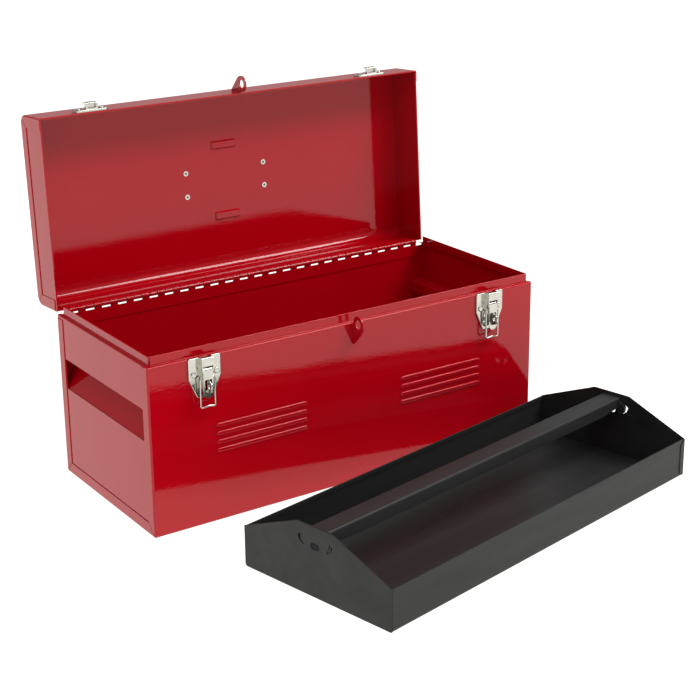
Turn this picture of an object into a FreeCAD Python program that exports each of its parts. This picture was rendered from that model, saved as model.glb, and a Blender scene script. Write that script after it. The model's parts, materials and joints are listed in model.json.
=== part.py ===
# Steel hand-carry toolbox with its lid open and its tote tray standing beside it.
# Millimetres.  +X runs along the case, +Y to the hinge side, +Z up.
# The origin is the centre of the case's underside.  Lid parts are drawn with the lid
# shut and tray parts in the tray's own frame; a Placement puts each of them at rest.
import FreeCAD, Part
import math
import os
import Sketcher
from FreeCAD import Placement, Rotation, Vector

DIMENSIONS = [
    ("case_length", 508.0, "outer length of the case"),
    ("case_depth", 218.0, "outer depth of the case"),
    ("sheet", 0.8, "sheet steel thickness"),
    ("bend", 2.5, "outer radius of the floor bends"),
    ("shoulder_height", 190.0, "height of the shoulder that the lid comes down to"),
    ("neck_height", 10.0, "height of the neck above the shoulder"),
    ("neck_inset", 4.5, "step inward from the wall to the neck"),
    ("neck_end", 99.0, "rear end of the end panels' neck"),
    ("hem", 5.0, "height of the folded hems"),
    ("back_height", 186.0, "height of the back wall"),
    ("flange", 13.5, "width of the flanges folded over the ends"),
    ("mitre", 0.7, "open gap between two flanges at a corner"),
    ("fold", 2.0, "outer radius of the folds at the ends"),
    ("rib_length", 113.0, "length of one pressed rib"),
    ("rib_width", 4.4, "width of one pressed rib"),
    ("rib_rise", 1.5, "height of one pressed rib"),
    ("rib_pitch", 9.5, "distance between ribs"),
    ("rib_top", 110.0, "height of the top rib"),
    ("rib_centre", 119.5, "distance of a rib group from the middle"),
    ("grip_width", 188.0, "width of the hand opening in an end"),
    ("grip_bottom", 105.5, "lower edge of the hand opening"),
    ("grip_top", 141.0, "upper edge of the hand opening"),
    ("shelf_height", 141.9, "top of the ledge that carries the tray"),
    ("shelf_depth", 18.4, "reach of the ledge from the case's end"),
    ("shelf_drop", 12.5, "upright face under the ledge"),
    ("pin_height", 191.7, "height of the hinge pin"),
    ("pin_radius", 1.25, "radius of the hinge pin"),
    ("knuckle_radius", 2.8, "outer radius of the hinge knuckles"),
    ("knuckle_pitch", 20.16, "distance between two lid knuckles"),
    ("knuckle_first", -234.0, "place of the first lid knuckle"),
    ("knuckle_gap", 0.8, "side clearance of a knuckle"),
    ("hinge_half", 243.5, "half length of the hinge"),
    ("leaf", 1.0, "thickness of a hinge leaf"),
    ("leaf_height", 18.4, "height of a leaf from the pin"),
    ("lid_notch", 5.8, "depth of the lid leaf's notches from the pin"),
    ("case_notch", 4.3, "depth of the case leaf's notches from the pin"),
    ("fit", 0.07, "radial clearance of a turning fit"),
    ("lid_rim", 191.0, "lid rim when shut"),
    ("lid_rear_rim", 195.0, "lower edge of the lid's rear wall when shut"),
    ("lid_top", 242.5, "top of the lid when shut"),
    ("lid_corner", 11.0, "radius of the lid's long corners"),
    ("lid_angle", 93.5, "angle at which the open lid stops"),
    ("ear_reach", 10.3, "padlock hole from the front wall"),
    ("ear_height", 189.5, "height of the padlock holes"),
    ("ear_radius", 9.4, "outer radius of a padlock ear"),
    ("ear_hole", 5.0, "radius of the padlock hole"),
    ("ear_sheet", 1.6, "thickness of a padlock ear"),
    ("ear_tail", 24.0, "length of an ear's tail along the wall"),
    ("latch_place", 188.5, "latch from the middle of the case"),
    ("latch_width", 38.0, "width of the latch plate"),
    ("latch_top", 190.5, "top of the latch plate"),
    ("latch_waist", 167.5, "height where the latch plate starts to taper"),
    ("latch_bottom", 146.0, "bottom of the latch plate"),
    ("latch_foot", 19.0, "width of the latch plate's foot"),
    ("latch_rise", 2.5, "depth of the dished latch plate"),
    ("plated", 1.0, "thickness of the plated latch steel"),
    ("bridge_width", 13.8, "outer width of the latch bridge"),
    ("bridge_reach", 9.7, "front of the latch bridge from the wall"),
    ("bridge_top", 191.2, "top of the latch bridge"),
    ("bridge_bottom", 181.6, "lower edge of the bridge's front"),
    ("lever_reach", 7.3, "lever pivot from the wall"),
    ("lever_height", 177.3, "height of the lever pivot"),
    ("lever_pin", 1.2, "radius of the lever pivot pin"),
    ("lever_curl", 2.2, "radius of the lever's rolled top"),
    ("lever_width", 11.4, "outer width of the lever"),
    ("window_top", 167.0, "top of the lever's window"),
    ("window_bottom", 152.0, "bottom of the lever's window"),
    ("window_width", 8.4, "width of the lever's window"),
    ("lever_bottom", 146.5, "lower end of the lever"),
    ("bail_drop", 8.8, "bail pivot below the lever pivot"),
    ("bail_length", 32.5, "bail pivot to the crossbar's ends"),
    ("bail_width", 17.2, "distance between the bail's legs"),
    ("bail_wire", 1.0, "radius of the bail wire"),
    ("bail_bow", 1.5, "bow of the bail's crossbar"),
    ("staple_height", 159.3, "height of the padlock staple's eye"),
    ("staple_reach", 12.1, "padlock staple's eye from the wall"),
    ("staple_eye", 2.4, "radius of the padlock staple's eye"),
    ("rivet_spread", 27.2, "distance between a latch plate's rivets"),
    ("rivet_height", 172.3, "height of the latch plate's rivets"),
    ("rivet_shank", 1.6, "radius of a rivet's shank"),
    ("rivet_head", 3.3, "radius of a rivet's head"),
    ("catch_width", 40.0, "width of a lid catch"),
    ("catch_bottom", 193.0, "lower edge of a lid catch when shut"),
    ("catch_height", 15.0, "height of a lid catch"),
    ("catch_rivets", 27.6, "distance between a lid catch's rivets"),
    ("hook_width", 14.6, "width of the hook that the bail holds"),
    ("hook_reach", 10.2, "front of the hook from the lid"),
    ("hook_seat", 198.0, "seat of the bail's crossbar when shut"),
    ("hook_lip", 203.6, "tip of the hook's lip when shut"),
    ("carry_spread", 107.0, "distance between the carrying handle's brackets"),
    ("carry_rivets", 28.4, "distance between a bracket's rivets"),
    ("carry_rivet", 2.4, "radius of a hollow bracket rivet"),
    ("carry_height", 6.5, "carrying handle's pivot above the lid"),
    ("carry_rod", 2.5, "radius of the carrying handle's rod"),
    ("carry_reach", 43.0, "carrying handle's pivot to its grip"),
    ("grip_depth", 20.0, "depth of the moulded grip"),
    ("grip_thick", 9.0, "thickness of the moulded grip"),
    ("pad_length", 34.0, "length of a pressed pad on the lid"),
    ("pad_width", 10.0, "width of a pressed pad on the lid"),
    ("pad_rise", 2.0, "height of a pressed pad on the lid"),
    ("tray_length", 488.0, "outer length of the tray"),
    ("tray_width", 202.0, "outer width of the tray"),
    ("tray_wall", 45.0, "height of the tray's long walls"),
    ("tray_gable", 76.0, "height of the tray's ends"),
    ("tray_flat", 48.0, "width of the flat top of a tray end"),
    ("tray_lap", 6.5, "width of a tray end's lap over the wall"),
    ("tray_bend", 3.0, "outer radius of the tray's floor bends"),
    ("bar_width", 24.6, "width of the tray's handle bar"),
    ("bar_height", 15.0, "depth of the tray's handle bar"),
    ("bar_top", 71.8, "top of the tray's handle bar"),
    ("tray_turn", 11.9, "angle between the tray and the case"),
]


class Size:
    """A length that carries both its value and the expression that drives it."""

    def __init__(self, value, text):
        self.value = value
        self.text = text

    def joined(self, sign, other, swapped=False):
        left, right = (size(other), self) if swapped else (self, size(other))
        results = {
            "+": left.value + right.value,
            "-": left.value - right.value,
            "*": left.value * right.value,
        }
        return Size(results[sign], "(%s %s %s)" % (left.text, sign, right.text))

    def __add__(self, other):
        return self.joined("+", other)

    def __radd__(self, other):
        return self.joined("+", other, swapped=True)

    def __sub__(self, other):
        return self.joined("-", other)

    def __rsub__(self, other):
        return self.joined("-", other, swapped=True)

    def __mul__(self, other):
        return self.joined("*", other)

    def __rmul__(self, other):
        return self.joined("*", other, swapped=True)

    def __truediv__(self, number):
        return Size(self.value / number, "(%s / %s)" % (self.text, repr(number)))

    def __neg__(self):
        return self * -1.0


def size(number):
    """Any number as a Size."""
    return number if isinstance(number, Size) else Size(float(number), "(%r)" % float(number))


doc = FreeCAD.newDocument("Toolbox")
sheet_of_dims = doc.addObject("Spreadsheet::Sheet", "Dims")
for row, (alias, number, note) in enumerate(DIMENSIONS, start=1):
    sheet_of_dims.set("A%d" % row, alias)
    sheet_of_dims.set("B%d" % row, str(number))
    sheet_of_dims.setAlias("B%d" % row, alias)
    sheet_of_dims.set("C%d" % row, note)
doc.recompute()


def dim(alias):
    """The Size of one driving dimension."""
    return Size(float(getattr(sheet_of_dims, alias)), "Dims." + alias)


# ---------------------------------------------------------------- modelling helpers

sub_parts = []


def bind(thing, prop, length):
    """Set a property to a Size and keep it driven by the sheet."""
    length = size(length)
    if "." not in prop:
        setattr(thing, prop, length.value)
    thing.setExpression(prop, length.text)


def new_body(name, place=None):
    """A PartDesign body that becomes one sub-part."""
    body = doc.addObject("PartDesign::Body", name)
    body.Label = name
    if place is not None:
        body.Placement = place
    sub_parts.append(body)
    return body


def origin_feature(body, role):
    """One of a body's own origin planes or axes."""
    return [feature for feature in body.Origin.OriginFeatures if feature.Role == role][0]


def sketch_on(body, role, offset=0.0):
    """A sketch on one of the body's origin planes, moved along the plane's normal."""
    sketch = body.newObject("Sketcher::SketchObject", body.Name + "_sketch")
    sketch.AttachmentSupport = [(origin_feature(body, role), "")]
    sketch.MapMode = "FlatFace"
    offset = size(offset)
    sketch.AttachmentOffset = Placement(Vector(0, 0, offset.value), Rotation())
    sketch.setExpression("AttachmentOffset.Base.z", offset.text)
    return sketch


def pin_point(sketch, geometry, end, x, y):
    """Fix one end of a sketch line or arc by two driven distances from the origin."""
    for kind, length in (("DistanceX", x), ("DistanceY", y)):
        index = sketch.addConstraint(Sketcher.Constraint(kind, -1, 1, geometry, end, length.value))
        sketch.setExpression("Constraints[%d]" % index, length.text)


def rounded_path(corners, closed=True):
    """Corner points, each (x, y) or (x, y, radius), turned into stretches of line and arc."""
    count = len(corners)
    nodes = []
    for index, corner in enumerate(corners):
        x, y = size(corner[0]), size(corner[1])
        at_end = not closed and index in (0, count - 1)
        if len(corner) < 3 or at_end:
            nodes.append(((x, y), (x, y), None, 0.0))
            continue
        before, after = corners[index - 1], corners[(index + 1) % count]
        towards = [Vector(size(p[0]).value - x.value, size(p[1]).value - y.value, 0).normalize()
                   for p in (before, after)]
        half = towards[0].getAngle(towards[1]) / 2
        radius = size(corner[2])
        reach = radius * (1 / math.tan(half))
        entry = (x + reach * towards[0].x, y + reach * towards[0].y)
        leave = (x + reach * towards[1].x, y + reach * towards[1].y)
        turn = towards[1].cross(towards[0]).z
        nodes.append((entry, leave, radius, turn))
    return nodes


def add_arc(sketch, start, end, radius, turn):
    """An arc of a driven radius from start to end; turn > 0 bends to the left."""
    a = Vector(start[0].value, start[1].value, 0)
    b = Vector(end[0].value, end[1].value, 0)
    side = 1.0 if turn > 0 else -1.0
    chord = b - a
    across = Vector(-chord.y, chord.x, 0).normalize()
    rise = math.sqrt(max(radius.value ** 2 - (chord.Length / 2) ** 2, 0.0))
    centre = (a + b) / 2 + across * (rise * side)
    angles = [math.atan2(p.y - centre.y, p.x - centre.x) for p in (a, b)]
    if side < 0:
        angles.reverse()
    circle = Part.Circle(centre, Vector(0, 0, 1), radius.value)
    index = sketch.addGeometry(Part.ArcOfCircle(circle, angles[0], angles[1]), False)
    ends = (1, 2) if side > 0 else (2, 1)
    driven = sketch.addConstraint(Sketcher.Constraint("Radius", index, radius.value))
    sketch.setExpression("Constraints[%d]" % driven, radius.text)
    return index, ends


def draw(sketch, corners, closed=True):
    """An outline through corners, with arcs at the corners that carry a radius."""
    nodes = rounded_path(corners, closed)
    pieces = []
    last = len(nodes) if closed else len(nodes) - 1
    for index in range(len(nodes)):
        entry, leave, radius, turn = nodes[index]
        if radius is not None:
            pieces.append((add_arc(sketch, entry, leave, radius, turn), entry, leave))
        if index < last:
            target = nodes[(index + 1) % len(nodes)][0]
            a = Vector(leave[0].value, leave[1].value, 0)
            b = Vector(target[0].value, target[1].value, 0)
            ends = [corners[index], corners[(index + 1) % len(nodes)]]
            way = Vector(*[size(ends[1][axis]).value - size(ends[0][axis]).value for axis in (0, 1)], 0)
            if (b - a).dot(way) < 1e-6:
                raise ValueError("two corner radii overlap in " + sketch.Name)
            line = sketch.addGeometry(Part.LineSegment(a, b), False)
            pieces.append(((line, (1, 2)), leave, target))
    for (geometry, ends), start, _ in pieces:
        pin_point(sketch, geometry, ends[0], *start)
    (geometry, ends), _, finish = pieces[-1]
    if closed:
        pieces.append(pieces[0])
    else:
        pin_point(sketch, geometry, ends[1], *finish)
    for (first, first_ends), (second, second_ends) in zip(
            [piece[0] for piece in pieces], [piece[0] for piece in pieces[1:]]):
        sketch.addConstraint(Sketcher.Constraint(
            "Coincident", first, first_ends[1], second, second_ends[0]))


def draw_box(sketch, x0, y0, x1, y1, radius=None):
    """A rectangle from one corner to the other, its corners rounded if asked."""
    corners = [(x0, y0), (x1, y0), (x1, y1), (x0, y1)]
    draw(sketch, corners if radius is None else [corner + (radius,) for corner in corners])


def draw_circle(sketch, x, y, radius):
    """A circle of a driven centre and radius."""
    x, y, radius = size(x), size(y), size(radius)
    circle = Part.Circle(Vector(x.value, y.value, 0), Vector(0, 0, 1), radius.value)
    index = sketch.addGeometry(circle, False)
    pin_point(sketch, index, 3, x, y)
    driven = sketch.addConstraint(Sketcher.Constraint("Radius", index, radius.value))
    sketch.setExpression("Constraints[%d]" % driven, radius.text)


def draw_slot(sketch, x, y, length, width):
    """A slot with round ends, long in x, centred at x, y."""
    x, y, length, width = size(x), size(y), size(length), size(width)
    half, radius = (length - width) / 2, width / 2
    left, right = x - half, x + half
    low, high = y - radius, y + radius
    bottom = sketch.addGeometry(Part.LineSegment(
        Vector(left.value, low.value, 0), Vector(right.value, low.value, 0)), False)
    top = sketch.addGeometry(Part.LineSegment(
        Vector(right.value, high.value, 0), Vector(left.value, high.value, 0)), False)
    arcs = []
    for centre, start in ((right, -math.pi / 2), (left, math.pi / 2)):
        circle = Part.Circle(Vector(centre.value, y.value, 0), Vector(0, 0, 1), radius.value)
        arcs.append(sketch.addGeometry(Part.ArcOfCircle(circle, start, start + math.pi), False))
    pin_point(sketch, bottom, 1, left, low)
    pin_point(sketch, bottom, 2, right, low)
    pin_point(sketch, top, 1, right, high)
    pin_point(sketch, top, 2, left, high)
    for arc, centre in zip(arcs, (right, left)):
        index = sketch.addConstraint(Sketcher.Constraint("DistanceX", -1, 1, arc, 3, centre.value))
        sketch.setExpression("Constraints[%d]" % index, centre.text)
    for first, second in ((bottom, arcs[0]), (arcs[0], top), (top, arcs[1]), (arcs[1], bottom)):
        sketch.addConstraint(Sketcher.Constraint("Coincident", first, 2, second, 1))


def computed(feature):
    """Recompute, and stop if the new feature or a sketch in its body failed."""
    doc.recompute()
    body = feature.getParentGeoFeatureGroup()
    failed = [item.Name for item in body.Group if "Invalid" in item.State]
    if not failed and not feature.Shape.isValid():
        failed.append(feature.Name + " has a bad shape")
    if failed:
        raise RuntimeError("failed: " + ", ".join(failed) + " " + feature.getStatusString())
    return feature


def pad(body, sketch, length, both=False, back=False):
    """Pad a sketch along its normal, against it, or half each way."""
    feature = body.newObject("PartDesign::Pad", body.Name + "_pad")
    feature.Profile = sketch
    bind(feature, "Length", length)
    feature.SideType = "Symmetric" if both else "One side"
    feature.Reversed = back
    return computed(feature)


def pocket(body, sketch, length, both=False, back=False):
    """Cut a sketch's area out of the body and make sure that something was cut."""
    before = body.Shape.Volume
    feature = body.newObject("PartDesign::Pocket", body.Name + "_pocket")
    feature.Profile = sketch
    bind(feature, "Length", length)
    feature.SideType = "Symmetric" if both else "One side"
    feature.Reversed = back
    computed(feature)
    if body.Shape.Volume > before - 1e-6:
        raise RuntimeError("nothing was cut from " + body.Label)
    return feature


def repeated(body, feature, pitch, count):
    """Repeat a feature along X."""
    pattern = body.newObject("PartDesign::LinearPattern", body.Name + "_pattern")
    pattern.Originals = [feature]
    pattern.Direction = (origin_feature(body, "X_Axis"), [""])
    bind(pattern, "Length", pitch * (count - 1))
    pattern.Occurrences = count
    body.Tip = pattern
    return computed(pattern)


def mirrored(body, features, role):
    """Mirror features in one of the body's origin planes."""
    mirror = body.newObject("PartDesign::Mirrored", body.Name + "_mirror")
    mirror.Originals = features
    mirror.MirrorPlane = (origin_feature(body, role), [""])
    body.Tip = mirror
    return computed(mirror)


def round_edges(body, radius, wanted, flat=False):
    """Fillet, or chamfer if flat, the edges whose box passes the test."""
    base = body.Tip
    names = ["Edge%d" % (index + 1) for index, edge in enumerate(base.Shape.Edges)
             if wanted(edge.BoundBox, edge)]
    if not names:
        raise RuntimeError("no edges to round on " + body.Label)
    kind = "Chamfer" if flat else "Fillet"
    feature = body.newObject("PartDesign::" + kind, body.Name + "_round")
    feature.Base = (base, names)
    bind(feature, "Size" if flat else "Radius", radius)
    return computed(feature)


def sweep(body, path_sketch, profile_sketch):
    """Sweep a round profile along a path of lines and arcs."""
    feature = body.newObject("PartDesign::AdditivePipe", body.Name + "_sweep")
    feature.Profile = profile_sketch
    feature.Spine = path_sketch
    return computed(feature)


# ---------------------------------------------------------------- shared sizes

half_length = dim("case_length") / 2
half_depth = dim("case_depth") / 2
sheet = dim("sheet")
shoulder = dim("shoulder_height")
neck_top = shoulder + dim("neck_height")
inset = dim("neck_inset")
hem = dim("hem")
flange = dim("flange")
lid_top = dim("lid_top")
lid_rim = dim("lid_rim")
pin_height = dim("pin_height")
tray_half = dim("tray_length") / 2
tray_side = dim("tray_width") / 2
SIDES = (("left", -1), ("right", 1))

# The lid turns about the hinge pin, which lies in the plane of the back wall.
pin_line = Vector(0, half_depth.value, pin_height.value)
lid_open = Placement(Vector(), Rotation(Vector(1, 0, 0), -dim("lid_angle").value), pin_line)

# The tray stands in front of the case, turned about its near left corner.
TRAY_CORNER = Vector(-207.3, -215.0, 0)
tray_rotation = Rotation(Vector(0, 0, 1), dim("tray_turn").value)
tray_place = Placement(
    TRAY_CORNER + tray_rotation.multVec(Vector(tray_half.value, -tray_side.value, 0)), tray_rotation)


def latch_place(side):
    """Latch parts are drawn at the middle of the front wall."""
    return Placement(Vector(side * dim("latch_place").value, -half_depth.value, 0), Rotation())


def catch_place(side):
    """Catch parts are drawn at the middle of the lid's front wall, with the lid shut."""
    return lid_open.multiply(latch_place(side))


# ---------------------------------------------------------------- case

def end_flanges(body, ring, fold_line, slits):
    """Flanges folded over both ends of a wrap, rounded along the fold and slit at the corners."""
    sketch = sketch_on(body, "YZ_Plane", half_length - sheet)
    draw(sketch, ring)
    first = pad(body, sketch, sheet)
    mirrored(body, [first], "YZ_Plane")
    end = half_length.value - 0.01
    round_edges(body, dim("fold"), lambda box, edge: abs(box.XMin) > end and box.XLength < 0.01
                and fold_line(box))
    cuts = sketch_on(body, "YZ_Plane", half_length + 1)
    gap = dim("mitre") * 0.35
    for (y0, z0), (y1, z1), lean in slits:
        draw(cuts, [(y0 + gap, z0 - gap * lean), (y0 - gap, z0 + gap * lean),
                    (y1 - gap, z1 + gap * lean), (y1 + gap, z1 - gap * lean)])
    cut = pocket(body, cuts, sheet + 1)
    mirrored(body, [cut], "YZ_Plane")


def base_wrap():
    """Front wall, floor and back wall bent from one sheet, with ribs and end flanges."""
    body = new_body("base_wrap")
    front, back = -half_depth, half_depth
    bend = dim("bend")
    profile = sketch_on(body, "YZ_Plane")
    draw(profile, [
        (back, dim("back_height")),
        (back, 0, bend),
        (front, 0, bend),
        (front, shoulder),
        (front + inset, shoulder, 0.6),
        (front + inset, neck_top, 0.5),
        (front + inset + sheet * 2, neck_top, 0.5),
        (front + inset + sheet * 2, neck_top - hem),
        (front + inset + sheet, neck_top - hem),
        (front + inset + sheet, shoulder - sheet, 1.2),
        (front + sheet, shoulder - sheet, 0.6),
        (front + sheet, sheet, bend - sheet),
        (back - sheet, sheet, bend - sheet),
        (back - sheet, dim("back_height")),
    ])
    pad(body, profile, dim("case_length"), both=True)
    ring = [(front, shoulder), (front, 0, bend), (back, 0, bend), (back, dim("back_height")),
            (back - flange, dim("back_height")), (back - flange, flange), (front + flange, flange),
            (front + flange, shoulder - 1.2), (front + inset, shoulder - 1.2), (front + inset, shoulder)]
    slits = [((side * (half_depth - flange - 1), flange + 1), (side * (half_depth - 3.4), 3.4), -side)
             for _, side in SIDES]
    end_flanges(body, ring, lambda box: box.ZMax < 0.01, slits)
    rounding = sketch_on(body, "YZ_Plane")
    draw(rounding, [(front - 1, shoulder - 2), (front, shoulder - 2), (front, shoulder, 1.4),
                    (front + 2, shoulder), (front + 2, shoulder + 1), (front - 1, shoulder + 1)])
    pocket(body, rounding, dim("case_length") + 4, both=True)

    # The neck stops short of the ends, where the end panels' necks run past it.
    step = sketch_on(body, "XZ_Plane", half_depth)
    draw_box(step, half_length - inset - 1.9, shoulder + 0.01, half_length + 1, neck_top + 1)
    cut = pocket(body, step, inset + hem)
    mirrored(body, [cut], "YZ_Plane")

    ribs = sketch_on(body, "XZ_Plane", half_depth)
    hollows = sketch_on(body, "XZ_Plane", half_depth - sheet)
    for _, side in SIDES:
        for row in range(4):
            centre = (side * dim("rib_centre"), dim("rib_top") - dim("rib_pitch") * row)
            draw_slot(ribs, *centre, dim("rib_length"), dim("rib_width"))
            draw_slot(hollows, *centre, dim("rib_length") - 1.8, dim("rib_width") - 1.8)
    pad(body, ribs, dim("rib_rise"))
    front_of_rib = -(half_depth + dim("rib_rise")).value
    round_edges(body, dim("rib_rise") - 0.3, lambda box, edge: box.YMax < front_of_rib + 0.01)
    pocket(body, hollows, dim("rib_rise"), back=True)

    rivets = sketch_on(body, "XZ_Plane", half_depth + 1)
    for _, side in SIDES:
        for end in (-1, 1):
            draw_circle(rivets, side * dim("latch_place") + end * dim("rivet_spread") / 2,
                        dim("rivet_height"), dim("rivet_shank"))
    pocket(body, rivets, 4)


def base_end(name, side):
    """End panel with its hand opening, shoulder and neck."""
    body = new_body(name)
    panel = sketch_on(body, "YZ_Plane", side * (half_length - sheet * 1.5))
    draw_box(panel, sheet - half_depth, sheet, half_depth - sheet, dim("back_height"), 2.0)
    half_grip = dim("grip_width") / 2
    draw_box(panel, -half_grip, dim("grip_bottom"), half_grip, dim("grip_top"), 2.5)
    pad(body, panel, sheet, both=True)

    face = half_length - sheet
    neck = half_length - inset
    top = sketch_on(body, "XZ_Plane")
    draw(top, [
        (side * face, dim("back_height") - 4),
        (side * face, shoulder, 1.4),
        (side * neck, shoulder, 0.6),
        (side * neck, neck_top, 0.5),
        (side * (neck - sheet * 2), neck_top, 0.5),
        (side * (neck - sheet * 2), neck_top - hem),
        (side * (neck - sheet), neck_top - hem),
        (side * (neck - sheet), shoulder - sheet, 1.2),
        (side * (face - sheet), shoulder - sheet, 0.6),
        (side * (face - sheet), dim("back_height") - 4),
    ])
    pad(body, top, (half_depth - sheet) * 2, both=True)

    # The shoulder and neck start behind the front wall's, and the neck stops short of the hinge.
    cuts = sketch_on(body, "YZ_Plane", half_length + 1)
    corner = inset + sheet * 1.25 - half_depth
    draw_box(cuts, -half_depth - 1, dim("back_height"), corner, neck_top + 1)
    draw(cuts, [(dim("neck_end"), neck_top + 1), (dim("neck_end"), shoulder + 4, 3.0),
                (dim("neck_end") + 4, shoulder + 0.01), (half_depth + 1, shoulder + 0.01),
                (half_depth + 1, neck_top + 1)])
    if side < 0:
        cuts.AttachmentOffset = Placement(Vector(0, 0, inset.value + 4 - half_length.value), Rotation())
        cuts.setExpression("AttachmentOffset.Base.z", (inset + 4 - half_length).text)
    pocket(body, cuts, inset + 5)


def handle_pocket(name, side):
    """Pocket behind a hand opening; its flat top is the ledge that carries the tray."""
    body = new_body(name)
    wall = half_length - sheet * 2
    ledge = half_length - dim("shelf_depth")
    shelf = dim("shelf_height")
    foot = dim("grip_bottom") - 0.5
    profile = sketch_on(body, "XZ_Plane")
    draw(profile, [
        (side * wall, shelf + 9),
        (side * wall, shelf - sheet),
        (side * (ledge + sheet), shelf - sheet, 0.6),
        (side * (ledge + sheet), shelf - dim("shelf_drop"), 1.0),
        (side * wall, foot, 1.0),
        (side * wall, foot - 10),
        (side * (wall - sheet), foot - 10),
        (side * (wall - sheet), foot - 0.7, 0.6),
        (side * ledge, shelf - dim("shelf_drop") - 0.5, 1.4),
        (side * ledge, shelf, 1.4),
        (side * (wall - sheet), shelf, 0.6),
        (side * (wall - sheet), shelf + 9),
    ])
    pad(body, profile, (half_depth - sheet * 1.5) * 2, both=True)


# ---------------------------------------------------------------- hinge

def hinge_leaf(name, up, bore, depth, first, count, place=None):
    """A hinge leaf inside the rear wall; up is 1 for the lid's leaf and -1 for the case's."""
    body = new_body(name, place)
    inner = half_depth - sheet - dim("leaf")
    long = dim("hinge_half") * 2
    plate = sketch_on(body, "YZ_Plane")
    draw_box(plate, inner, pin_height + up * dim("leaf_height"), inner + dim("leaf"), pin_height + up * 1.6)
    pad(body, plate, long, both=True)
    barrel = sketch_on(body, "YZ_Plane")
    draw_circle(barrel, half_depth, pin_height, dim("knuckle_radius"))
    draw_circle(barrel, half_depth, pin_height, bore)
    pad(body, barrel, long, both=True)
    notch = sketch_on(body, "XZ_Plane")
    half = dim("knuckle_pitch") / 4 + dim("knuckle_gap") / 2
    far = pin_height + up * depth
    near = pin_height - up * (dim("knuckle_radius") + 1)
    draw_box(notch, first - half, near, first + half, far)
    cut = pocket(body, notch, half_depth + 10)
    repeated(body, cut, dim("knuckle_pitch"), count)


def hinge_pin():
    """Hinge pin through all knuckles."""
    body = new_body("hinge_pin")
    profile = sketch_on(body, "YZ_Plane")
    draw_circle(profile, half_depth, pin_height, dim("pin_radius"))
    pad(body, profile, dim("hinge_half") * 2 + 1, both=True)


# ---------------------------------------------------------------- padlock ears

def padlock_ear(name, up, along, place=None):
    """Drop-shaped ear square to the front wall; up is 1 for the lid's and -1 for the case's."""
    body = new_body(name, place)
    wall = -half_depth
    centre = dim("ear_height")
    radius = dim("ear_radius")
    outline = sketch_on(body, "YZ_Plane", along)
    root = centre + up * 3
    tail = centre + up * dim("ear_tail")
    draw(outline, [
        (wall, root),
        (wall, tail, 0.6),
        (wall - 2.2, tail, 1.5),
        (wall - dim("ear_reach") - radius, centre + up * 6, 12),
        (wall - dim("ear_reach") - radius, centre - up * radius, radius - 0.1),
        (wall - dim("ear_reach") + radius, centre - up * radius, radius - 0.1),
        (wall - dim("ear_reach") + radius, root, 0.5),
    ])
    draw_circle(outline, wall - dim("ear_reach"), centre, dim("ear_hole"))
    pad(body, outline, dim("ear_sheet"), both=True)


# ---------------------------------------------------------------- latches

def latch_outline(inside):
    """Corners of the shield-shaped latch plate, drawn inside its edge by a distance."""
    half = dim("latch_width") / 2 - inside
    foot = dim("latch_foot") / 2 - inside
    low, high = dim("latch_bottom") + inside, dim("latch_top") - inside
    waist = dim("latch_waist") + inside * 0.3
    return [(-half, high, 1.5), (-half, waist, 4.0), (-foot, low, 3.0),
            (foot, low, 3.0), (half, waist, 4.0), (half, high, 1.5)]


def latch_plate(name, side):
    """Dished back plate with a bridge, two cheeks that hold the lever's pin, and an opening."""
    body = new_body(name, latch_place(side))
    rise, steel = dim("latch_rise"), dim("plated")
    plate = sketch_on(body, "XZ_Plane")
    draw(plate, latch_outline(size(0)))
    pad(body, plate, rise)
    round_edges(body, 0.8, lambda box, edge: box.YMax < 0.01 - rise.value)
    hollow = sketch_on(body, "XZ_Plane")
    draw(hollow, latch_outline(steel))
    pocket(body, hollow, rise - steel, back=True)

    outer = dim("bridge_width") / 2
    front, pivot = -dim("bridge_reach"), dim("lever_height")
    cheeks = sketch_on(body, "YZ_Plane")
    draw(cheeks, [(0.2 - rise, dim("bridge_top"), 0.3), (front, dim("bridge_top"), 1.2),
                  (front, pivot - 4.2, 3.0), (0.2 - rise, pivot - 8)])
    pad(body, cheeks, dim("bridge_width"), both=True)
    channel = sketch_on(body, "XZ_Plane")
    draw_box(channel, steel - outer, pivot - 10, outer - steel, dim("bridge_bottom"))
    pocket(body, channel, dim("bridge_reach") + 1, back=True)
    behind = sketch_on(body, "XZ_Plane", -1)
    draw_box(behind, steel - outer, dim("bridge_bottom") - 0.2, outer - steel, dim("bridge_top") + 3)
    pocket(body, behind, dim("bridge_reach") - steel + 1, back=True)
    floor = sketch_on(body, "XZ_Plane", rise - steel)
    draw_box(floor, 0.1 - outer, dim("latch_bottom") + 6, outer - 0.1, dim("latch_top") - 0.9)
    pad(body, floor, steel)
    opening = sketch_on(body, "XZ_Plane", rise + 0.5)
    draw_box(opening, -4.2, dim("staple_height") - 6.7, 4.2, dim("staple_height") + 6.7, 0.8)
    pocket(body, opening, rise + 1)

    bore = sketch_on(body, "YZ_Plane")
    draw_circle(bore, -dim("lever_reach"), pivot, dim("lever_pin"))
    pocket(body, bore, dim("bridge_width") + 4, both=True)
    holes = sketch_on(body, "XZ_Plane", 4)
    for end in (-1, 1):
        draw_circle(holes, end * dim("rivet_spread") / 2, dim("rivet_height"), dim("rivet_shank"))
    pocket(body, holes, 8)


def latch_staple(name, side):
    """Padlock eye that stands on the latch plate and comes through the lever's window."""
    body = new_body(name, latch_place(side))
    middle, reach = dim("staple_height"), dim("staple_reach")
    outline = sketch_on(body, "YZ_Plane")
    draw(outline, [(-dim("latch_rise"), middle - 8.2), (-dim("latch_rise"), middle + 8.2),
                   (-reach - 5.2, middle + 5.2, 5.0), (-reach - 5.2, middle - 5.2, 5.0)])
    draw_circle(outline, -reach, middle, dim("staple_eye"))
    pad(body, outline, 1.6, both=True)
    round_edges(body, 0.4, lambda box, edge: box.XLength < 0.01 and box.YMin < -6)


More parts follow.
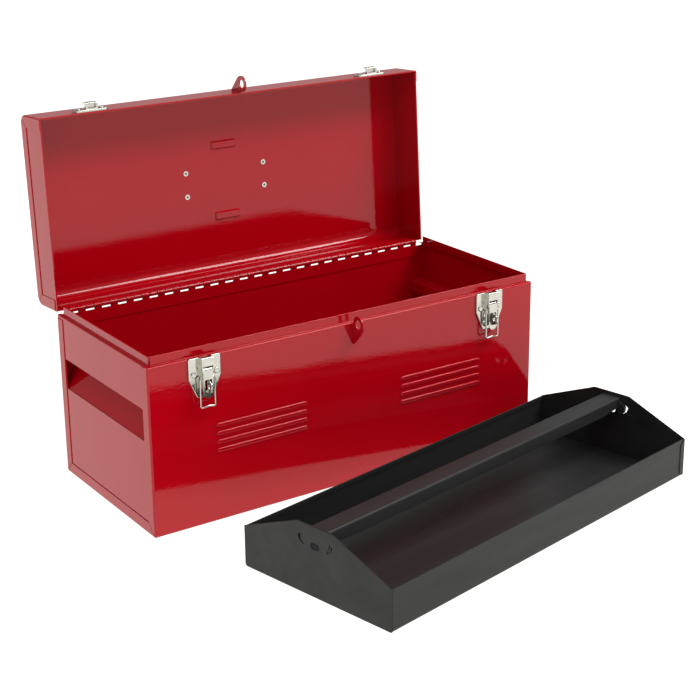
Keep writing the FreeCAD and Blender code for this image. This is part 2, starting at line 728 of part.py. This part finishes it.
def latch_pivot(name, side):
    """Pin through the cheeks, on which the lever turns, with a round head at each end."""
    body = new_body(name, latch_place(side))
    half = dim("bridge_width") / 2
    shaft = sketch_on(body, "YZ_Plane")
    draw_circle(shaft, -dim("lever_reach"), dim("lever_height"), dim("lever_pin"))
    pad(body, shaft, half * 2, both=True)
    for end in (-1, 1):
        head = sketch_on(body, "YZ_Plane", end * half)
        draw_circle(head, -dim("lever_reach"), dim("lever_height"), dim("lever_pin") + 0.6)
        pad(body, head, 0.4, back=end < 0)


def latch_lever(name, side):
    """Lever with a rolled top, folded sides, a window and a round tongue."""
    body = new_body(name, latch_place(side))
    steel, half = dim("plated"), dim("lever_width") / 2
    pivot, reach, curl = dim("lever_height"), dim("lever_reach"), dim("lever_curl")
    front = -(reach + curl)
    low = dim("lever_bottom")
    face = sketch_on(body, "XZ_Plane", reach + curl - steel)
    draw(face, [(-half, pivot), (-half, low + 4, 2.0), (-half + 3.2, low, 3.4),
                (half - 3.2, low, 3.4), (half, low + 4, 2.0), (half, pivot)])
    pad(body, face, steel)
    cheeks = sketch_on(body, "YZ_Plane")
    draw(cheeks, [(front + 0.2, pivot), (front + 0.2, low + 8), (front + 2.2, low + 8, 1.0),
                  (front + 3.0, dim("window_top") - 2.5, 2.0), (-reach + 2.0, dim("window_top") - 1.5, 1.2),
                  (-reach + 2.2, pivot, 1.0)])
    pad(body, cheeks, half * 2, both=True)
    roll = sketch_on(body, "YZ_Plane")
    draw_circle(roll, -reach, pivot, curl)
    pad(body, roll, half * 2, both=True)
    inside = sketch_on(body, "XZ_Plane", reach + curl - steel)
    draw_box(inside, steel - half, low - 1, half - steel, pivot - curl - 0.1)
    pocket(body, inside, 12)
    window = sketch_on(body, "XZ_Plane", reach + curl + 1)
    half_window = dim("window_width") / 2
    draw_box(window, -half_window, dim("window_bottom"), half_window, dim("window_top"), 1.2)
    pocket(body, window, 4)
    bores = sketch_on(body, "YZ_Plane")
    draw_circle(bores, -reach, pivot, dim("lever_pin") + dim("fit"))
    draw_circle(bores, -reach, pivot - dim("bail_drop"), dim("bail_wire") + dim("fit"))
    pocket(body, bores, half * 2 + 2, both=True)


def latch_bail(name, side):
    """Wire bail that hangs from the lever and hooks over the lid's catch."""
    body = new_body(name, latch_place(side))
    pivot = dim("lever_height") - dim("bail_drop")
    leg, low = dim("bail_width") / 2, pivot - dim("bail_length")
    inner = dim("lever_width") / 2 - dim("plated")
    path = sketch_on(body, "XZ_Plane", dim("lever_reach"))
    draw(path, [(-inner, pivot), (-leg, pivot, 1.8), (-leg, low, 2.2), (0, low + dim("bail_bow"), 22.0),
                (leg, low, 2.2), (leg, pivot, 1.8), (inner, pivot)], closed=False)
    profile = sketch_on(body, "YZ_Plane", -inner)
    draw_circle(profile, -dim("lever_reach"), pivot, dim("bail_wire"))
    sweep(body, path, profile)


def rivet_group(name, places, outside, inside, frame):
    """Round-headed rivets along Y; each place is (x, z), and the wall's outer face is y = 0."""
    body = new_body(name, frame)
    head, shank = dim("rivet_head"), dim("rivet_shank")
    outer = sketch_on(body, "XZ_Plane", outside)
    inner = sketch_on(body, "XZ_Plane", -inside)
    core = sketch_on(body, "XZ_Plane", -inside)
    for x, z in places:
        draw_circle(outer, x, z, head)
        draw_circle(inner, x, z, head - 0.3)
        draw_circle(core, x, z, shank)
    pad(body, core, outside + inside)
    pad(body, outer, 1.5)
    tip = -(size(outside) + 1.5).value
    round_edges(body, 1.2, lambda box, edge: box.YMax < tip + 0.01)
    pad(body, inner, 0.8, back=True)


def front_rivet_places(spread, height):
    """Two rivets on each side of the middle."""
    return [(side * dim("latch_place") + end * dim(spread) / 2, height)
            for _, side in SIDES for end in (-1, 1)]


# ---------------------------------------------------------------- lid

def lid_wrap():
    """Front wall, top and rear wall bent from one sheet, with pads and end flanges."""
    body = new_body("lid_wrap", lid_open)
    front, back, corner = -half_depth, half_depth, dim("lid_corner")
    profile = sketch_on(body, "YZ_Plane")
    draw(profile, [
        (front, lid_rim),
        (front, lid_top, corner),
        (back, lid_top, corner),
        (back, dim("lid_rear_rim")),
        (back - sheet, dim("lid_rear_rim")),
        (back - sheet, lid_top - sheet, corner - sheet),
        (front + sheet, lid_top - sheet, corner - sheet),
        (front + sheet, lid_rim + hem),
        (front + sheet * 2, lid_rim + hem),
        (front + sheet * 2, lid_rim),
    ])
    pad(body, profile, dim("case_length"), both=True)

    low, roof, turn = dim("lid_rear_rim"), lid_top - flange, corner * 0.2929
    ring = [(front, lid_rim), (front + flange, lid_rim), (front + flange, roof), (back - flange, roof),
            (back - flange, low), (back, low), (back, lid_top, corner), (front, lid_top, corner)]
    slits = [((side * (half_depth - flange - 1), roof - 1),
              (side * (half_depth - turn - 1.4), lid_top - turn - 1.4), side) for _, side in SIDES]
    end_flanges(body, ring, lambda box: box.ZMin > lid_top.value - 0.01, slits)

    # The pads are pressed inward, with sloped sides.
    raised = sketch_on(body, "XY_Plane", lid_top - sheet)
    hollows = sketch_on(body, "XY_Plane", lid_top)
    for row in (-1, 1):
        for target, inside, radius in ((raised, 0.0, 1.8), (hollows, 1.6, 0.6)):
            half, deep = dim("pad_length") / 2 - inside, dim("pad_width") / 2 - inside
            middle = row * dim("carry_reach")
            draw_box(target, -half, middle - deep, half, middle + deep, radius)
    pad(body, raised, dim("pad_rise"), back=True)
    floor = (lid_top - sheet - dim("pad_rise")).value
    round_edges(body, 1.4, lambda box, edge: abs(box.ZMin - floor) < 0.01 and abs(box.ZMax - floor) < 0.01,
                flat=True)
    pocket(body, hollows, dim("pad_rise"))

    holes = sketch_on(body, "XY_Plane", lid_top + 3)
    for _, side in SIDES:
        for end in (-1, 1):
            draw_circle(holes, side * dim("carry_spread") / 2, end * dim("carry_rivets") / 2,
                        dim("carry_rivet"))
    pocket(body, holes, 6)
    front_holes = sketch_on(body, "XZ_Plane", half_depth + 1)
    for x, z in front_rivet_places("catch_rivets", dim("catch_bottom") + dim("catch_height") / 2):
        draw_circle(front_holes, x, z, dim("rivet_shank"))
    pocket(body, front_holes, 3)


def lid_end(name, side):
    """Flat end of the lid behind the folded flanges, with a hem along its rim."""
    body = new_body(name, lid_open)
    corner = dim("lid_corner") - sheet
    edge = half_depth - sheet
    outline = sketch_on(body, "YZ_Plane", side * (half_length - sheet * 1.5))
    draw(outline, [(-edge + sheet, lid_rim, 0.3), (edge, lid_rim, 0.3), (edge, lid_top - sheet, corner),
                   (-edge, lid_top - sheet, corner), (-edge, lid_rim + hem), (-edge + sheet, lid_rim + hem)])
    pad(body, outline, sheet, both=True)
    fold = sketch_on(body, "YZ_Plane", side * (half_length - sheet * 2.5))
    draw_box(fold, sheet * 3 - half_depth, lid_rim, half_depth - sheet * 4, lid_rim + hem, 0.35)
    pad(body, fold, sheet, both=True)


def lid_catch(name, side):
    """Dished plate with a hollow hook that opens towards the top of the lid."""
    body = new_body(name, catch_place(side))
    half, low = dim("catch_width") / 2, dim("catch_bottom")
    high = low + dim("catch_height")
    rise, steel = dim("latch_rise"), dim("plated")
    plate = sketch_on(body, "XZ_Plane")
    draw_box(plate, -half, low, half, high, 4.0)
    pad(body, plate, rise)
    round_edges(body, 0.8, lambda box, edge: box.YMax < 0.01 - rise.value)
    hollow = sketch_on(body, "XZ_Plane")
    draw_box(hollow, steel - half, low + steel, half - steel, high - steel, 3.0)
    pocket(body, hollow, rise - steel, back=True)

    front, seat = -dim("hook_reach"), dim("hook_seat")
    hook = sketch_on(body, "YZ_Plane")
    foot = low + 0.7
    draw(hook, [(0.3 - rise, foot), (front, foot, 1.0), (front, dim("hook_lip"), 0.4),
                (front + steel * 1.3, dim("hook_lip"), 0.4), (front + steel * 1.3, seat, 1.2),
                (0.3 - rise, seat, 0.6)])
    pad(body, hook, dim("hook_width"), both=True)
    recess = sketch_on(body, "XY_Plane", foot - 1)
    side_wall = dim("hook_width") / 2 - 2.2
    draw_box(recess, -side_wall, front + 1.5, side_wall, -rise - 1.6, 0.8)
    pocket(body, recess, 3.8, back=True)
    holes = sketch_on(body, "XZ_Plane", 4)
    for end in (-1, 1):
        draw_circle(holes, end * dim("catch_rivets") / 2, low + dim("catch_height") / 2, dim("rivet_shank"))
    pocket(body, holes, 8)


# ---------------------------------------------------------------- carrying handle

def handle_bracket(name, side):
    """Strap riveted to the lid, humped over the end of the handle's rod."""
    body = new_body(name, lid_open)
    along = side * dim("carry_spread") / 2
    half = dim("carry_rivets") / 2
    rod, pivot = dim("carry_rod"), lid_top + dim("carry_height")
    thick = 1.5
    strap = sketch_on(body, "YZ_Plane", along)
    draw(strap, [(-half - 6, lid_top), (half + 6, lid_top), (half + 6, lid_top + thick),
                 (rod + 4.5, lid_top + thick, 1.5), (rod + 2.2, pivot + rod + thick, 3.0),
                 (-rod - 2.2, pivot + rod + thick, 3.0), (-rod - 4.5, lid_top + thick, 1.5),
                 (-half - 6, lid_top + thick)])
    draw_circle(strap, 0, pivot, rod + dim("fit"))
    pad(body, strap, 14, both=True)
    round_edges(body, 4.0, lambda box, edge: box.ZLength > thick - 0.1 and box.XLength < 0.01
                and box.YLength < 0.01 and abs(box.YMin) > (half + 5).value)
    holes = sketch_on(body, "XY_Plane", lid_top - 1)
    for end in (-1, 1):
        draw_circle(holes, along, end * half, dim("carry_rivet"))
    pocket(body, holes, thick + 2, back=True)


def handle_rivets():
    """Four rivets through the lid and the brackets, hollow at their inner ends."""
    body = new_body("handle_rivets", lid_open)
    outer, inner = sketch_on(body, "XY_Plane", lid_top + 1.5), sketch_on(body, "XY_Plane", lid_top - sheet)
    core, bores = sketch_on(body, "XY_Plane", lid_top - sheet), sketch_on(body, "XY_Plane", lid_top - 3)
    for _, side in SIDES:
        for end in (-1, 1):
            place = (side * dim("carry_spread") / 2, end * dim("carry_rivets") / 2)
            draw_circle(outer, *place, dim("carry_rivet") + 1.6)
            draw_circle(inner, *place, dim("carry_rivet") + 0.8)
            draw_circle(core, *place, dim("carry_rivet"))
            draw_circle(bores, *place, dim("carry_rivet") - 0.9)
    pad(body, core, sheet + 1.5)
    pad(body, outer, 1.1)
    pad(body, inner, 0.9, back=True)
    pocket(body, bores, 4.2, back=True)


def rest_handle():
    """The handle hangs plumb from the open lid, so it stands a little off the pads."""
    pivot = Vector(0, 0, (lid_top + dim("carry_height")).value)
    off_pad = Placement(Vector(), Rotation(Vector(1, 0, 0), dim("lid_angle").value - 90), pivot)
    return lid_open.multiply(off_pad)


def carry_bail():
    """Bent rod of the carrying handle, drawn folded towards the hinge."""
    body = new_body("carry_bail", rest_handle())
    half, reach = dim("carry_spread") / 2, dim("carry_reach")
    height = lid_top + dim("carry_height")
    rod = dim("carry_rod")
    path = sketch_on(body, "XY_Plane", height)
    out = half + 6.0
    leg = half - 13.0
    draw(path, [(-out, 0), (-leg, 0, 6.0), (-leg, reach, 9.0), (leg, reach, 9.0), (leg, 0, 6.0), (out, 0)],
         closed=False)
    profile = sketch_on(body, "YZ_Plane", -out)
    draw_circle(profile, 0, height, rod)
    sweep(body, path, profile)


def carry_grip():
    """Moulded grip around the rod's crossbar."""
    body = new_body("carry_grip", rest_handle())
    reach, height = dim("carry_reach"), lid_top + dim("carry_height")
    deep, thick = dim("grip_depth") / 2, dim("grip_thick") / 2
    length = (dim("carry_spread") / 2 - 13.0 - 10.0) * 2
    section = sketch_on(body, "YZ_Plane")
    draw_box(section, reach - deep, height - thick, reach + deep * 0.7, height + thick, 4.2)
    draw_circle(section, reach, height, dim("carry_rod"))
    pad(body, section, length, both=True)
    round_edges(body, 1.2, lambda box, edge: box.XLength < 0.01 and abs(box.XMin) > length.value / 2 - 0.01
                and box.YLength + box.ZLength > 0.1
                and (box.Center - Vector(box.Center.x, reach.value, height.value)).Length > 3.5)


# ---------------------------------------------------------------- tray

def tray_pan():
    """Floor and long walls bent from one sheet, with hemmed top edges."""
    body = new_body("tray_pan", tray_place)
    side, wall, bend = tray_side - sheet, dim("tray_wall"), dim("tray_bend")
    profile = sketch_on(body, "YZ_Plane")
    draw(profile, [
        (-side, 0, bend), (side, 0, bend), (side, wall, 0.4), (side - sheet * 2, wall, 0.4),
        (side - sheet * 2, wall - hem), (side - sheet, wall - hem), (side - sheet, sheet, bend - sheet),
        (sheet - side, sheet, bend - sheet), (sheet - side, wall - hem), (sheet * 2 - side, wall - hem),
        (sheet * 2 - side, wall, 0.4), (-side, wall, 0.4),
    ])
    pad(body, profile, (tray_half - sheet) * 2, both=True)


def tray_end(name, side):
    """Gabled end with laps over the long walls, slots with lanced tabs, and a centre hole."""
    body = new_body(name, tray_place)
    flat, wall, gable = dim("tray_flat") / 2, dim("tray_wall"), dim("tray_gable")
    outline = sketch_on(body, "YZ_Plane", side * (tray_half - sheet))
    draw(outline, [(-tray_side, 0, 3.4), (tray_side, 0, 3.4), (tray_side, wall, 1.0), (flat, gable, 9.0),
                   (-flat, gable, 9.0), (-tray_side, wall, 1.0)])
    pad(body, outline, sheet, back=side < 0)
    face = tray_half.value - 0.01
    round_edges(body, 0.6, lambda box, edge: abs(box.XMin) > face and box.XLength < 0.01 and box.ZMax < 0.01)
    lap_end = tray_half - sheet - dim("tray_lap")
    for edge in (-1, 1):
        lap = sketch_on(body, "XZ_Plane", -edge * (tray_side - sheet))
        draw(lap, [(side * lap_end, 4), (side * (tray_half - 0.7), 4), (side * (tray_half - 0.7), wall - 0.6),
                   (side * lap_end, wall - 6)])
        pad(body, lap, sheet, back=edge > 0)

    holes = sketch_on(body, "YZ_Plane", side * tray_half)
    middle = 55.0
    draw_slot(holes, 0, middle, 12.4, 7.6)
    for edge in (-1, 1):
        draw(holes, [(edge * 15.0, middle - 1.0, 0.5), (edge * 16.8, middle - 2.6, 0.5),
                     (edge * 21.6, middle + 1.0, 2.0), (edge * 23.8, middle + 6.4, 0.8),
                     (edge * 19.2, middle + 9.6, 0.8), (edge * 18.2, middle + 3.0, 2.0)])
    pocket(body, holes, 5, both=True)

    # Each tab was pushed inward beside its slot and grips a side of the handle bar.
    tabs = sketch_on(body, "YZ_Plane", side * (tray_half - sheet))
    for edge in (-1, 1):
        inner = dim("bar_width") / 2 + 0.1
        draw(tabs, [(edge * inner, middle - 1.2, 0.8), (edge * (inner + 3.4), middle - 3.4, 1.0),
                    (edge * (inner + 8.0), middle + 1.0, 1.5), (edge * (inner + 8.6), middle + 8.0, 2.0),
                    (edge * inner, middle + 13.5, 1.0)])
    pad(body, tabs, 4.2, back=side > 0)


def tray_handle():
    """Handle bar bent to an upside-down channel, its lower edges rising at the ends."""
    body = new_body("tray_handle", tray_place)
    half, top = dim("bar_width") / 2, dim("bar_top")
    low = top - dim("bar_height")
    steel = 1.0
    long = (tray_half - sheet) * 2
    profile = sketch_on(body, "YZ_Plane")
    draw(profile, [(-half, low), (-half, top, 2.6), (half, top, 2.6), (half, low), (half - steel, low),
                   (half - steel, top - steel, 1.6), (steel - half, top - steel, 1.6), (steel - half, low)])
    pad(body, profile, long, both=True)
    rise = sketch_on(body, "XZ_Plane")
    end = tray_half - sheet
    for side in (-1, 1):
        draw(rise, [(side * (end - 40), low - 0.5), (side * (end + 1), low - 0.5), (side * (end + 1), low + 4.2),
                    (side * (end - 12), low + 2.6, 30.0)])
    pocket(body, rise, half * 2 + 4, both=True)


# ---------------------------------------------------------------- the whole toolbox

base_wrap()
for word, side in SIDES:
    base_end("base_end_" + word, side)
    handle_pocket("handle_pocket_" + word, side)

first_knuckle = dim("knuckle_first")
between = first_knuckle - dim("knuckle_pitch") / 2
hinge_leaf("base_hinge_leaf", -1, dim("pin_radius"), dim("case_notch"), first_knuckle, 24)
hinge_pin()
ear_middle = dim("ear_sheet") / 2 + 0.15
padlock_ear("base_hasp", -1, -ear_middle)

for word, side in SIDES:
    latch_plate("latch_plate_" + word, side)
    latch_staple("latch_staple_" + word, side)
    latch_pivot("latch_pivot_" + word, side)
    latch_lever("latch_lever_" + word, side)
    latch_bail("latch_bail_" + word, side)

front_wall = Placement(Vector(0, -half_depth.value, 0), Rotation())
rivet_group("latch_rivets", front_rivet_places("rivet_spread", dim("rivet_height")),
            dim("latch_rise"), sheet, front_wall)

lid_wrap()
for word, side in SIDES:
    lid_end("lid_end_" + word, side)
    lid_catch("lid_catch_" + word, side)
    handle_bracket("handle_bracket_" + word, side)
hinge_leaf("lid_hinge_leaf", 1, dim("pin_radius") + dim("fit"), dim("lid_notch"), between, 25, lid_open)
padlock_ear("lid_hasp", 1, ear_middle, lid_open)
rivet_group("catch_rivets", front_rivet_places("catch_rivets", dim("catch_bottom") + dim("catch_height") / 2),
            dim("latch_rise"), sheet, lid_open.multiply(front_wall))
handle_rivets()
carry_bail()
carry_grip()

tray_pan()
for word, side in SIDES:
    tray_end("tray_end_" + word, side)
tray_handle()

# ---------------------------------------------------------------- check and write

doc.recompute()
faults = [thing.Label + " " + " ".join(thing.State) for thing in doc.Objects
          if {"Invalid", "Error"} & set(thing.State)]
for part in sub_parts:
    shape = part.Shape
    if shape.isNull() or not shape.isValid():
        faults.append(part.Label + " has no valid shape")
if faults:
    raise RuntimeError("; ".join(faults))

os.makedirs("parts", exist_ok=True)
for part in sub_parts:
    part.Shape.exportStep(os.path.join("parts", part.Label + ".step"))
    print("%-22s %2d solid(s) %10.1f mm3" % (part.Label, len(part.Shape.Solids), part.Shape.Volume))
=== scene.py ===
"""Studio view of a red steel toolbox with its lid open and its black tote tray beside it."""
import json
import math

import bpy
from mathutils import Matrix, Vector


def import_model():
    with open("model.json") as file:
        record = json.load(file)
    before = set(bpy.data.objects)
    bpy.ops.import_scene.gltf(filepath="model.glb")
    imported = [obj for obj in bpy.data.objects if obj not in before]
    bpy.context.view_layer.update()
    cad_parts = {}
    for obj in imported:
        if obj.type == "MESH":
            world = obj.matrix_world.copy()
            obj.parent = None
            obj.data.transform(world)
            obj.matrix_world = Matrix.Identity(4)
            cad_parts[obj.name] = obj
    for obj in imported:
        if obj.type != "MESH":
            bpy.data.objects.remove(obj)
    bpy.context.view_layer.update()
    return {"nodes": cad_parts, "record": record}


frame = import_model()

NODES = frame["nodes"]
TRAY_TURN = math.radians(11.9)

# Even glow of the whole floor.
FLOOR_GLOW = 1.05

# Camera: place in metres, turn about Z, angle below level, roll, and lens.
CAMERA_PLACE = Vector((-0.93006, -1.48350, 0.74840))
CAMERA_TURN = math.radians(-34.021)
CAMERA_DOWN = math.radians(18.117)
CAMERA_ROLL = math.radians(-0.579)
CAMERA_LENS = 82.19
CAMERA_SHIFT = (-0.0031, -0.0590)


# ---------------------------------------------------------------- node helpers

class Shader:
    """A node material with short calls for the nodes it is made of."""

    def __init__(self, name):
        self.material = bpy.data.materials.new(name)
        self.material.use_nodes = True
        self.tree = self.material.node_tree
        self.bsdf = self.tree.nodes["Principled BSDF"]
        self.coords = self.tree.nodes.new("ShaderNodeTexCoord")

    def node(self, kind, settings=(), **inputs):
        """A new node; an input's value is a number, a colour or another node's output."""
        made = self.tree.nodes.new("ShaderNode" + kind)
        for name, value in dict(settings).items():
            setattr(made, name, value)
        for name, value in inputs.items():
            socket = made.inputs[name.replace("_", " ")]
            if isinstance(value, bpy.types.NodeSocket):
                self.tree.links.new(value, socket)
            else:
                socket.default_value = value
        return made

    def place(self, turn=0.0, stretch=(1.0, 1.0, 1.0)):
        """Object coordinates, turned about Z and stretched."""
        mapping = self.node("Mapping", {"vector_type": "TEXTURE"}, Vector=self.coords.outputs["Object"],
                            Rotation=(0.0, 0.0, turn), Scale=stretch)
        return mapping.outputs[0]

    def noise(self, scale, detail=2.0, roughness=0.5, at=None):
        """Noise between 0 and 1 with features about 1 / scale metres wide."""
        made = self.node("TexNoise", Vector=at or self.coords.outputs["Object"], Scale=scale,
                         Detail=detail, Roughness=roughness)
        return made.outputs["Fac"]

    def span(self, value, low, high, start=0.3, end=0.7):
        """A value from start to end turned into low to high."""
        made = self.node("MapRange", Value=value, From_Min=start, From_Max=end, To_Min=low, To_Max=high)
        return made.outputs[0]

    def blend(self, factor, first, second):
        """A colour between two colours."""
        made = self.tree.nodes.new("ShaderNodeMix")
        made.data_type = "RGBA"
        for index, value in ((0, factor), (6, first), (7, second)):
            if isinstance(value, bpy.types.NodeSocket):
                self.tree.links.new(value, made.inputs[index])
            else:
                made.inputs[index].default_value = value
        return made.outputs[2]

    def bump(self, height, distance, normal=None):
        """A bump of a height in metres, on top of another normal if one is given."""
        extra = {} if normal is None else {"Normal": normal}
        made = self.node("Bump", Height=height, Distance=distance, Strength=1.0, **extra)
        return made.outputs[0]

    def finish(self, **inputs):
        """Set the shader's own sockets."""
        for name, value in inputs.items():
            socket = self.bsdf.inputs[name.replace("_", " ")]
            if isinstance(value, bpy.types.NodeSocket):
                self.tree.links.new(value, socket)
            else:
                socket.default_value = value
        return self.material


# ---------------------------------------------------------------- materials

def red_enamel():
    """Gloss enamel with orange peel, faint sheet waviness and slightly thinner paint in patches."""
    shader = Shader("red_enamel")
    cloud = shader.noise(9.0, 3.0)
    thin, full = (0.415, 0.0002, 0.0055, 1.0), (0.44, 0.0003, 0.0068, 1.0)
    colour = shader.blend(shader.span(cloud, 0.0, 1.0), thin, full)
    waves = shader.bump(shader.noise(12.0, 1.0), 0.00022)
    peel = shader.bump(shader.noise(400.0, 1.5), 0.00005, waves)
    grain = shader.noise(900.0, 1.0)
    return shader.finish(Base_Color=colour, Roughness=shader.span(grain, 0.03, 0.055),
                         Normal=peel, IOR=1.42)


def black_enamel():
    """Semi-gloss black enamel with long rolling streaks along the tray."""
    shader = Shader("black_enamel")
    along = shader.place(TRAY_TURN, (12.0, 1.0, 1.0))
    streaks = shader.noise(120.0, 3.0, 0.6, along)
    bands = shader.noise(34.0, 2.0, 0.5, shader.place(TRAY_TURN, (16.0, 1.0, 1.0)))
    dark, light = (0.0135, 0.0138, 0.014, 1.0), (0.0245, 0.0248, 0.025, 1.0)
    colour = shader.blend(shader.span(bands, 0.0, 1.0), dark, light)
    waves = shader.bump(streaks, 0.00005)
    peel = shader.bump(shader.noise(420.0, 1.5), 0.000018, waves)
    return shader.finish(Base_Color=colour, Roughness=shader.span(streaks, 0.40, 0.50),
                         Normal=peel, IOR=1.34)


def nickel():
    """Bright nickel plating over stamped steel, with soft dulling and fine tumbling marks."""
    shader = Shader("nickel")
    cloud = shader.noise(150.0, 2.0)
    dull, bright = (0.50, 0.485, 0.44, 1.0), (0.58, 0.565, 0.51, 1.0)
    colour = shader.blend(shader.span(cloud, 0.0, 1.0), dull, bright)
    marks = shader.bump(shader.noise(300.0, 2.0), 0.00002)
    return shader.finish(Base_Color=colour, Metallic=1.0, Roughness=shader.span(cloud, 0.06, 0.12),
                         Normal=marks)


def zinc():
    """Drawn steel wire with lines along its length."""
    shader = Shader("zinc")
    lines = shader.noise(2500.0, 2.0, 0.5, shader.place(0.0, (40.0, 1.0, 1.0)))
    colour = shader.blend(lines, (0.42, 0.42, 0.42, 1.0), (0.62, 0.62, 0.61, 1.0))
    return shader.finish(Base_Color=colour, Metallic=1.0, Roughness=shader.span(lines, 0.28, 0.42),
                         Normal=shader.bump(lines, 0.00001))


def grip_plastic():
    """Moulded black plastic with a fine leather-like grain."""
    shader = Shader("grip_plastic")
    cells = shader.node("TexVoronoi", {"feature": "SMOOTH_F1"},
                        Vector=shader.coords.outputs["Object"], Scale=900.0)
    dark, light = (0.014, 0.014, 0.015, 1.0), (0.026, 0.026, 0.027, 1.0)
    colour = shader.blend(shader.noise(60.0, 2.0), dark, light)
    grain = shader.bump(cells.outputs["Distance"], 0.00012)
    return shader.finish(Base_Color=colour, Roughness=shader.span(shader.noise(500.0), 0.42, 0.55),
                         Normal=grain)


finishes = {
    "red_enamel": red_enamel(),
    "black_enamel": black_enamel(),
    "nickel": nickel(),
    "zinc": zinc(),
    "grip_plastic": grip_plastic(),
}
for part in frame["record"]["subparts"]:
    node = NODES[part["node"]]
    node.data.materials.clear()
    node.data.materials.append(finishes[part["material_slot"]])


# ---------------------------------------------------------------- stage, light and camera

def floor():
    """Large plain pale floor that glows evenly, as a studio light table does."""
    reach = 9.0
    mesh = bpy.data.meshes.new("floor")
    corners = [(-reach, -reach, 0.0), (reach, -reach, 0.0), (reach, reach, 0.0), (-reach, reach, 0.0)]
    mesh.from_pydata(corners, [], [(0, 1, 2, 3)])
    plane = bpy.data.objects.new("floor", mesh)
    bpy.context.scene.collection.objects.link(plane)
    shader = Shader("floor")
    mesh.materials.append(shader.finish(Base_Color=(0.25, 0.25, 0.25, 1.0), Roughness=0.9,
                                        Specular_IOR_Level=0.0, Emission_Color=(1.0, 1.0, 0.96, 1.0),
                                        Emission_Strength=FLOOR_GLOW))


def softbox(name, place, target, size, power):
    """Rectangular soft light that points at a target."""
    light = bpy.data.lights.new(name, "AREA")
    light.shape = "RECTANGLE"
    light.size, light.size_y = size
    light.energy = power
    box = bpy.data.objects.new(name, light)
    box.location = place
    box.rotation_euler = (Vector(target) - Vector(place)).to_track_quat("-Z", "Y").to_euler()
    bpy.context.scene.collection.objects.link(box)


def world(low, high):
    """White surroundings, brighter overhead."""
    made = bpy.data.worlds.new("studio")
    made.use_nodes = True
    background = made.node_tree.nodes["Background"]
    background.inputs["Color"].default_value = (1.0, 1.0, 1.0, 1.0)
    tree = made.node_tree
    coords = tree.nodes.new("ShaderNodeTexCoord")
    height = tree.nodes.new("ShaderNodeSeparateXYZ")
    fade = tree.nodes.new("ShaderNodeMapRange")
    fade.inputs["From Min"].default_value = 0.3
    fade.inputs["From Max"].default_value = 0.9
    fade.inputs["To Min"].default_value = low
    fade.inputs["To Max"].default_value = high
    tree.links.new(coords.outputs["Generated"], height.inputs[0])
    tree.links.new(height.outputs["Z"], fade.inputs["Value"])
    tree.links.new(fade.outputs[0], background.inputs["Strength"])
    bpy.context.scene.world = made


def camera():
    """Long-lens camera, above and to the left of the case."""
    data = bpy.data.cameras.new("camera")
    data.sensor_fit = "HORIZONTAL"
    data.sensor_width = 36.0
    data.lens = CAMERA_LENS
    data.shift_x, data.shift_y = CAMERA_SHIFT
    data.clip_end = 100.0
    eye = bpy.data.objects.new("camera", data)
    turn = Matrix.Rotation(CAMERA_TURN, 4, "Z") @ Matrix.Rotation(math.radians(90) - CAMERA_DOWN, 4, "X")
    eye.matrix_world = Matrix.Translation(CAMERA_PLACE) @ turn @ Matrix.Rotation(CAMERA_ROLL, 4, "Z")
    bpy.context.scene.collection.objects.link(eye)
    bpy.context.scene.camera = eye


floor()
world(0.35, 0.75)
softbox("key", (1.25, -1.05, 2.1), (0.0, 0.0, 0.15), (1.3, 0.8), 38.0)
softbox("fill", (-0.5, -1.5, 2.6), (0.0, 0.0, 0.1), (1.0, 0.7), 13.0)
camera()
bpy.context.scene.view_settings.view_transform = "Standard"
